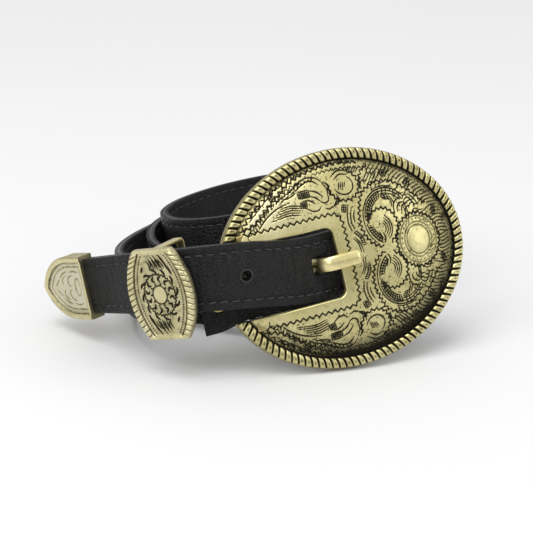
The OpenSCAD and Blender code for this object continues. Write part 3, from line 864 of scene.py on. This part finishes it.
# ---------------------------------------------------------------- the prong
TOP = -rise(0.12) - 0.15  # where it lies on the plate's face
PRONG = [
    (-38, -0.4), (-30, -0.4), (-20, -0.4), (-15.6, -0.9), (-13.8, -2.8), (-12.8, -5.8), (-11.8, -9.2),
    (-9.9, TOP - 0.4), (-7.4, TOP - 1.2), (-2, TOP - 1.2), (2.6, TOP - 1.15),
]
PRONG_HALF, NOSE = 2.8, 1.4


def prong():
    """The tongue, a rounded bar along its middle line, and its eye round the bar."""
    path = smooth([(*p, 0, 0) for p in PRONG], 10)[:, :2]
    t = np.gradient(path, axis=0)
    t /= np.linalg.norm(t, axis=1)[:, None]
    nrm = np.stack([t[:, 1], -t[:, 0]], 1)  # toward the face
    w = PRONG_HALF
    side = [(-1.2, w - 0.5), (-0.9, w - 0.12), (-0.3, w), (0.35, w - 0.06), (0.72, w - 0.3)]
    side += [(0.98, w * 0.55), (1.14, w * 0.2)]
    sec = np.array([(u, -v) for u, v in side] + [(1.22, 0)] + side[::-1])
    left = np.concatenate([[0], np.cumsum(np.linalg.norm(np.diff(path, axis=0), axis=1))])
    left = left[-1] - left
    rings = []
    for p, m, d in zip(path, nrm, left):
        k = 1.0 if d > NOSE else math.sqrt(max(1 - ((NOSE - d) / NOSE) ** 2, 0.0)) * 0.45 + 0.55
        q = p[None] + m[None] * (sec[:, :1] * k)
        rings.append(np.stack([q[:, 0], q[:, 1], sec[:, 1] * (0.35 * k + 0.65)], 1))
    inner, outer = BAR_R + 0.06, BAR_R + 1.35
    profile = [(inner, -w), (outer - 0.25, -w), (outer, -2.5), (outer, 2.5), (outer - 0.25, w), (inner, w)]
    eye, faces = ring_of(profile)
    eye = np.stack([eye[:, 0] + BAR_X, eye[:, 2] + BAR_Y, eye[:, 1]], 1)
    return merged([tube(np.array(rings)), (eye, faces)])


on_plate("prong_tongue", *prong(), "prong", ["prong"], "worn_brass", WORN, sharp=50)


# ---------------------------------------------------------------- the strap
def skin(u, s):
    """Half of a leather ply's outer side, from the edge to the middle, with the sewn line's dip."""
    rows = [(u * 0.58, s, 0.02), (u * 0.8, s, 0.0), (u * 0.93, s, 0.16), (u, s, 0.6), (u, s, 1.5)]
    rows += [(u * 0.985, s, 2.5), (u * 0.90, s, 3.0), (u * 0.885, s, 3.2), (u * 0.90, s, 3.4)]
    return rows + [(u * 0.985, s, 3.9), (u * 1.01, s, 5.2), (u * 1.015, s, 7.5), (u * 1.02, s, 10)]


def ply(u, inner):
    lower, upper = skin(u, -1), skin(u, 1)
    return [(inner, -1, 8), (inner, -1, 0.12)] + lower + upper[::-1] + [(inner, 1, 0.12), (inner, 1, 8)]


def flat_section(u, rim, corner, edge, middle):
    """A flat strip's section. rim, edge and middle are insets at its faces, its edge and its middle."""
    low = [(-u, middle), (-u, rim), (-corner, edge), (corner, edge), (u, rim), (u, middle)]
    return [(v, -1, inset) for v, inset in low] + [(-v, 1, inset) for v, inset in low]


def at_station(tools, *stations):
    """A solid or ring of the strap's own frame, copied to stations along the route."""
    out = []
    for i in stations:
        at, turn = station(ROUTE, i)
        out.append((place(tools[0], turn, at), tools[1]))
    return out


FACE_U, INNER_U, STEP = 1.9, 0.62, 1.25  # half the strap's thickness, the plies' inner side, mesh step
HOLES = (41 * STEPS + 1, 44 * STEPS + 1, 46 * STEPS)
SCREW_AT, SCREW_APART = (-50, -11, 0.8), 4.7
holes = at_station(rod(2.0, -6, 6), *HOLES)
holes += at_station(block((-1.9, -6, -2.75), (5.6, 6, 4.55), 1.4), 43 * STEPS - 1)  # round the prong
shank, shank_faces = rod(2.2, -10, 10)
screws = [(shank + SCREW_AT + (0, 0, s * SCREW_APART), shank_faces) for s in (1, -1)]
FACES = ["strap_face_outer", "strap_face_inner", "strap_face_return", "strap_face_front"]
for name, section, nodes, slot, mat in (
    ("strap_grain", ply(FACE_U, INNER_U), FACES, "black_leather", GRAIN),
    ("strap_filler", flat_section(0.6, 0.05, 0.3, 0.12, 8), ["strap_core"], "filler_board", EDGE),
    ("strap_backing", ply(-FACE_U, -INNER_U)[::-1], ["strap_lining"], "black_lining", LINING),
):
    p, f, lay = sweep(ROUTE, STEP, section)
    o = piece(name, p, f, "belt", nodes, slot, mat, lay=lay)
    cut(o, *holes, *screws)
    o.data.set_sharp_from_angle(angle=math.radians(40))

p, f, lay = sweep(TAB, 0.8, flat_section(0.7, 0.25, 0.5, 0.03, 6))
o = piece("tab_leather", p, f, "belt", ["fold_tab"], "black_leather", GRAIN, lay=lay)
cut(o, *screws, block((-40, -20, -5), (-20, 0, 5), 0.8))


def stitches(u, pitch=4.2, length=3.0, r=0.33):
    """Both rows of thread on one side of the strap, each stitch a rounded bar with its ends sunk."""
    p, n, d = laid_out(ROUTE, 0.6)
    k, a = np.linspace(-1, 1, 9), np.linspace(0, 2 * np.pi, 8, endpoint=False)
    parts = []
    sign = 1 if u > 0 else -1
    fat = (r * np.sqrt(np.clip(1.04 - k**6, 0.04, 1)))[:, None]
    lift = (abs(u) - 0.10 - 0.22 * np.abs(k) ** 4)[:, None]
    for edge in (1, -1):
        for s in np.arange(17 + (edge > 0) * 1.3, d[-1] - 19, pitch):
            at = s + k * length / 2
            c = np.stack([np.interp(at, d, p[:, j]) for j in range(4)], 1)
            m = np.stack([np.interp(at, d, n[:, j]) for j in range(2)], 1)
            m /= np.linalg.norm(m, axis=1)[:, None]
            z = c[:, 2] + edge * (c[:, 3] / 2 - 3.2) + 0.13 * k * edge
            off = lift + fat * np.cos(a) * 0.8
            ring = np.empty((len(k), len(a), 3))
            ring[:, :, :2] = c[:, None, :2] + m[:, None, :] * off[:, :, None] * sign
            ring[:, :, 2] = z[:, None] + fat * np.sin(a)
            parts.append(tube(ring if sign > 0 else ring[:, ::-1]))
    return merged(parts)


piece("stitching_face", *stitches(FACE_U), "belt", ["thread_upper", "thread_lower"], "thread", THREAD)
piece("stitching_back", *stitches(-FACE_U), "belt", (), "thread", THREAD)

k = np.linspace(0, 2 * np.pi, 12, endpoint=False)
lip = ring_of(np.stack([2.28 + 0.3 * np.cos(k), -1.88 + 0.16 * np.sin(k)], 1))
piece("hole_rims", *merged(at_station(lip, *HOLES)), "belt", (), "black_leather", EDGE)

# ---------------------------------------------------------------- the keeper
KH, KW, KE = 34.8, 28.6, 16.4  # height, width at the middle, width at the ends
bow = (KW - KE) / 2
BOW_R = (KH * KH / 4 + bow * bow) / (2 * bow)
keeper_at, keeper_turn = station(ROUTE, 46 * STEPS + 1)
keeper_off = np.array([0, -FACE_U - 1.1, -3.4])


def keeper_half(z):
    return np.sqrt(BOW_R**2 - z**2) - (BOW_R - KW / 2)


def ridge(far, at, width):
    """A smooth ridge, 1 where far is at, and gone a few widths away."""
    return np.exp(-(((far - at) / width) ** 2))


def keeper_relief(x, z):
    fine, leaf = [], []
    petals = 12
    for k in range(petals):
        a = 2 * math.pi * (k + 0.5) / petals
        fine.append(curve(on_ring(4.5, 5.0, a), on_ring(5.4, 6.1, a + 0.16), on_ring(6.3, 7.2, a)))
        if abs(math.sin(a)) < 0.98:
            b = a + 0.2
            fine.append(curve(on_ring(7.2, 8.4, b), on_ring(8.1, 9.4, b + 0.16), on_ring(8.3, 9.9, b + 0.3)))
    # the upper half's long leaves, repeated below with the plate turned half round
    leaf += row(4, (3.4, 9.6, -1.9, 0), (2.4, 12, -1.5, -0.3), (0.2, 15.2, -1.1, -0.7))
    leaf += row(4, (4.3, 10.2, -1.9, 0), (3.5, 11.8, -1.6, 0), (2.3, 13.2, -1.4, 0))
    side = curves(((5.9, 9.3), (4.6, 12.2), (2.6, 15.2)), ((-6.4, 8.9), (-5.6, 10.6)))
    side.append(curve((6.9, 7.6), (5.9, 10.4)))
    hair = [arc(0, 0, 3.1, 3.5, 0, 360, 60), zigzag(arc(0, 0, 6.9, 7.9, 0, 360, 90), 1.3, 0.28)]
    rel = Relief(np.stack([x.ravel(), z.ravel()], 1))
    rel.strokes(fine + side + [-p for p in side], 0.44, 0.40, True)
    rel.strokes(leaf + [-p for p in leaf], 0.30, 0.34, True)
    rel.strokes(hair, 0.24, 0.22)
    for k in range(10):
        rel.dot(on_ring(3.8, 4.25, 2 * math.pi * k / 10), 0.40, 0.28)
    for s in (1, -1):
        for v in np.arange(-15.6, 15.7, 0.95):
            rel.dot((s * (keeper_half(v) - 4.7), v), 0.28, 0.2)
        for v in np.arange(-3.6, 3.7, 0.9):
            rel.dot((v, s * 16.9), 0.3, 0.22)
    return rel.cut.reshape(x.shape), rel.dark.reshape(x.shape)


def keeper_front():
    """The barrel-shaped front: a sunk engraved panel between two roped sides."""
    n, m = 170, 210
    t, z = np.meshgrid(np.linspace(-1, 1, n), np.linspace(-KH / 2, KH / 2, m), indexing="ij")
    half = keeper_half(z)
    x = t * half
    edge, tall = (1 - np.abs(t)) * half, KH / 2 - np.abs(z)  # distance from a side, and from an end
    cuts, dark = keeper_relief(x, z)
    panel = np.clip((np.minimum(edge - 3.4, tall - 1.9)) / 0.35, 0, 1)
    rope_w, strand_long = 2.9, 2.15
    on_rope = edge < rope_w
    rope = np.sin(np.pi * np.clip(np.clip(edge / rope_w, 0, 1) * 0.9 + 0.1, 0, 1)) ** 0.7 * on_rope
    phase = (BOW_R * np.arcsin(z / BOW_R) - 0.42 * edge) / strand_long
    f = np.abs((phase % 1.0) - 0.5) * 2
    strand = np.clip((f - 0.70) / 0.30, 0, 1) ** 1.2
    fade = np.clip((tall - 1.1) / 0.6, 0, 1)
    h = 2.55 + 0.55 * (1 - (x / 15) ** 2)
    h += 0.75 * rope * fade * (1 - 0.75 * strand - 0.18 * f**2)
    groove = ridge(edge, 3.15, 0.28) * fade
    h += -0.5 * groove + 0.45 * ridge(edge, 3.85, 0.3) * panel - 0.35 * panel
    h += 0.30 * np.clip((1.5 - tall) / 0.3, 0, 1) * np.clip(tall / 0.4, 0, 1)
    h -= cuts * panel
    h -= 0.5 * np.clip(1 - np.minimum(edge, tall) / 0.35, 0, 1) ** 2
    boss = np.hypot(x, z / 1.12)
    h += 0.32 * np.sqrt(np.clip(1 - (boss / 2.7) ** 2, 0, 1))
    ground = 0.24 * panel * (boss > 2.8)
    tone = np.maximum.reduce([dark * panel, 0.92 * groove, 0.95 * strand * on_rope * fade, ground])
    front = np.stack([x, -h, z], -1)
    edge = front.reshape(-1, 3)[border(n, m)]
    low = edge * (1, 0, 1) + (0, -0.35, 0)
    pts, faces = skirted(front, low, edge * (0.985, 0, 0.99))
    return pts, faces, np.concatenate([tone.ravel(), np.full(len(edge), 0.1), np.full(len(edge), 0.3)])


def on_keeper(name, points, faces, node_name, slot, mat, **more):
    points = place(np.asarray(points) + keeper_off, keeper_turn, keeper_at)
    return piece(name, points, faces, "keeper", [node_name], slot, mat, **more)


pts, faces, tone = keeper_front()
on_keeper("keeper_front", pts, faces, "keeper_plate", "antique_brass", PALE, tone=tone, sharp=50)


def strip_loop():
    """The keeper's loop: a flat strip bent round the straps, with round corners."""
    depth, height, t, w, r = 17.2, KH - 0.6, 1.2, 3.4, 2.2
    path = []
    for cy, cz, a0 in ((depth - r, -(height / 2 - r), -90), (depth - r, height / 2 - r, 0)):
        for a in np.radians(np.linspace(a0, a0 + 90, 10)):
            path.append((cy + r * math.cos(a), cz + r * math.sin(a), math.cos(a), math.sin(a)))
    path = [(-0.2, -height / 2, 0, -1)] + path + [(-0.2, height / 2, 0, 1)]
    side = [(0, w / 2 - 0.3), (-0.3, w / 2), (-t + 0.3, w / 2), (-t, w / 2 - 0.3)]
    sec = [(u, -v) for u, v in side] + side[::-1]
    rings = np.array([[(x, cy + u * ny, cz + u * nz) for u, x in sec] for cy, cz, ny, nz in path])
    return tube(rings[:, ::-1])


on_keeper("keeper_strip", *strip_loop(), "keeper_loop", "worn_brass", WORN)

# ---------------------------------------------------------------- the tip
TL, TH, TW = 27.0, 26.0, 0.9  # length, height, thickness of the shield
SHOULDER = 9.0  # the length of its straight sides
NOSE_R = ((TL - SHOULDER) ** 2 + (TH / 2) ** 2) / TH
NOSE_C = NOSE_R - TH / 2
tip_at, tip_turn = station(ROUTE, (len(ROUTE) - 1) * STEPS)


def tip_half(x):
    d = np.clip(-SHOULDER - x, 0, None)
    return np.sqrt(np.maximum(NOSE_R**2 - d**2, 0)) - NOSE_C


def tip_front():
    """The pointed shield with its side wall, which is open at the mouth."""
    n, m = 170, 150
    xs = -TL + 0.02 + (TL - 0.02) * np.linspace(0, 1, n) ** 1.7
    x, t = np.meshgrid(xs, np.linspace(-1, 1, m), indexing="ij")
    z = t * np.maximum(tip_half(x), 0.01)
    nose = NOSE_R - np.hypot(np.minimum(x + SHOULDER, 0), np.abs(z) + NOSE_C)
    edge = np.where(x > -SHOULDER, TH / 2 - np.abs(z), nose)
    mouth = -x
    upper = curves(
        ((-8, 5.4), (-10.5, 4), (-11, 1.6), (-9.4, 0.6)),
        ((-12.4, 5), (-14.6, 3.2), (-14.2, 1)),
        ((-16.4, 3.4), (-18, 2), (-19.6, 0.4)),
        ((-4, 6.4), (-6.6, 7), (-9, 6.6)),
        ((-11, 6.8), (-13.6, 5.8), (-15.6, 4.4)),
    )
    rel = Relief(np.stack([x.ravel(), z.ravel()], 1))
    rel.strokes([arc(-5.4, 0.4, 1.5, 3.6, 0, 360, 30)] + mirrored(upper), 0.34, 0.22, True)
    cuts, dark = rel.cut.reshape(x.shape), rel.dark.reshape(x.shape)
    border_w = 2.3
    panel = np.clip((np.minimum(edge - border_w, mouth - 1.3)) / 0.4, 0, 1)
    crest = 1 - ((np.clip(edge, 0, border_w) - 1.2) / 1.3) ** 2 * 0.5
    h = TW + 0.95 * np.where(edge < border_w, crest, 0.64) * (1 - panel)
    line = ridge(np.minimum(edge, mouth + 2.0), 4.2, 0.3) * panel
    h += 0.22 * ridge(edge, 3.4, 0.3) * panel - 0.18 * line - cuts * panel
    groove = 0.62 * ridge(edge, 2.5, 0.28) * (mouth > 1.2)
    tone = np.maximum.reduce([dark * panel * 0.42, 0.50 * line, groove])
    tone = np.where(tone > 0.1, tone, -0.6 * panel)
    front = np.stack([x, -h, z], -1)
    outer = front.reshape(-1, 3)[border(n, m)]
    wall, wall_y = 1.4, 3.98
    side, ahead = np.sign(outer[:, 2]), np.minimum(outer[:, 0] + SHOULDER, 0)
    out = np.stack([ahead, np.where(outer[:, 0] > -SHOULDER, side, outer[:, 2] + side * NOSE_C)], 1)
    inner = outer[:, ::2] - out / np.linalg.norm(out, axis=1)[:, None] * wall
    inner[:, 1] = side * np.maximum(side * inner[:, 1], 0)
    rings = []
    for flat, y in ((outer[:, ::2], wall_y), (inner, wall_y), (inner, 0.0)):
        ring = np.stack([flat[:, 0], np.full(len(flat), y), flat[:, 1]], 1)
        open_at = (outer[:, 0] > -0.05) & (np.abs(outer[:, 2]) < TH / 2 - wall)
        ring[open_at] = outer[open_at] * (1, 0, 1)
        rings.append(ring)
    pts, faces = skirted(front, *rings)
    return pts, faces, np.concatenate([tone.ravel(), np.full(3 * len(outer), 0.1)])


pts, faces, tone = tip_front()
pts = place(pts + (10, -FACE_U - 0.1, 0), tip_turn, tip_at)
piece("tip_front", pts, faces, "belt", ["tip_shell"], "antique_brass", PALE, tone=tone, sharp=50)

# ---------------------------------------------------------------- carried-over parts
for name, mat in (
    ("buckle_bar", STEEL), ("screw_posts", SCREW), ("screw_cap_upper", SCREW), ("screw_cap_lower", SCREW),
    ("tip_back", WORN), ("tip_pins", STEEL),
):
    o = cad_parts[name]
    if not o.material_slots:
        o.data.materials.append(mat)
    for slot in o.material_slots:
        slot.material = mat

# ---------------------------------------------------------------- stage, light, camera
m, nt, sh = graph("pale floor")
paint = mix(nt, noise(nt, coords(nt), 3, 2), (0.655, 0.655, 0.66), (0.675, 0.675, 0.68))
wire(nt, sh, {"Base Color": paint, "Roughness": 0.85, "Specular IOR Level": 0.1})
corners = [[-9, -9, 0], [9, -9, 0], [9, 9, 0], [-9, 9, 0]]
floor = piece("floor", corners, [[0, 1, 2, 3]], None, mat=m, raw=True)

scene = bpy.context.scene
scene.view_settings.view_transform = "Standard"
world = bpy.data.worlds.new("studio")
scene.world = world
world.use_nodes = True
wt = world.node_tree
sky = node(wt, "ShaderNodeSeparateXYZ", {0: node(wt, "ShaderNodeTexCoord", {}).outputs["Generated"]})
ramp = node(wt, "ShaderNodeValToRGB", {"Fac": sky.outputs["Z"]})
low, high = ramp.color_ramp.elements
low.position, low.color = 0.0, (0.30, 0.30, 0.305, 1)
high.position, high.color = 0.75, (0.98, 0.98, 0.985, 1)
seen = node(wt, "ShaderNodeLightPath", {}).outputs["Is Camera Ray"]
backdrop = mix(wt, seen, ramp.outputs["Color"], (0.89, 0.89, 0.895))
wire(wt, wt.nodes["Background"], {"Color": backdrop, "Strength": 1.0})


def lamp(name, kind, at, aim, power, **settings):
    d = bpy.data.lights.new(name, kind)
    d.energy = power
    for key, v in settings.items():
        setattr(d, key, v)
    o = bpy.data.objects.new(name, d)
    scene.collection.objects.link(o)
    o.location = at
    o.rotation_mode = "QUATERNION"
    o.rotation_quaternion = (Vector(aim) - Vector(at)).to_track_quat("-Z", "Y")


lamp("overhead", "SUN", (-0.3, -0.3, 1.6), (0, 0, 0.03), 1.25, angle=math.radians(34))
lamp("key box", "AREA", (-0.55, -0.55, 0.62), (0.02, -0.03, 0.045), 3.4, size=0.6)
lamp("side box", "AREA", (0.75, -0.25, 0.35), (0.03, -0.03, 0.04), 1.2, size=0.5)

# the camera's elevation and azimuth about the belt frame, its place from there, and its lens in mm
E, RHO, DIST, LENS = math.radians(12), math.radians(11.4), 465.0, 81.0507
AIM = np.array([29.3, 3.41, -DIST])
R = spin("Z", RHO) @ np.array([[1, 0, 0], [0, math.sin(E), math.cos(E)], [0, -math.cos(E), math.sin(E)]])
cam_data = bpy.data.cameras.new("camera")
cam_data.sensor_width = 36
cam_data.lens = LENS
cam_data.clip_start, cam_data.clip_end = 0.01, 50
cam = bpy.data.objects.new("camera", cam_data)
scene.collection.objects.link(cam)
pose = np.eye(4)
pose[:3, :3] = REST @ R.T
pose[:3, 3] = to_row(-R.T @ AIM)
cam.matrix_world = Matrix(pose.tolist())
scene.camera = cam
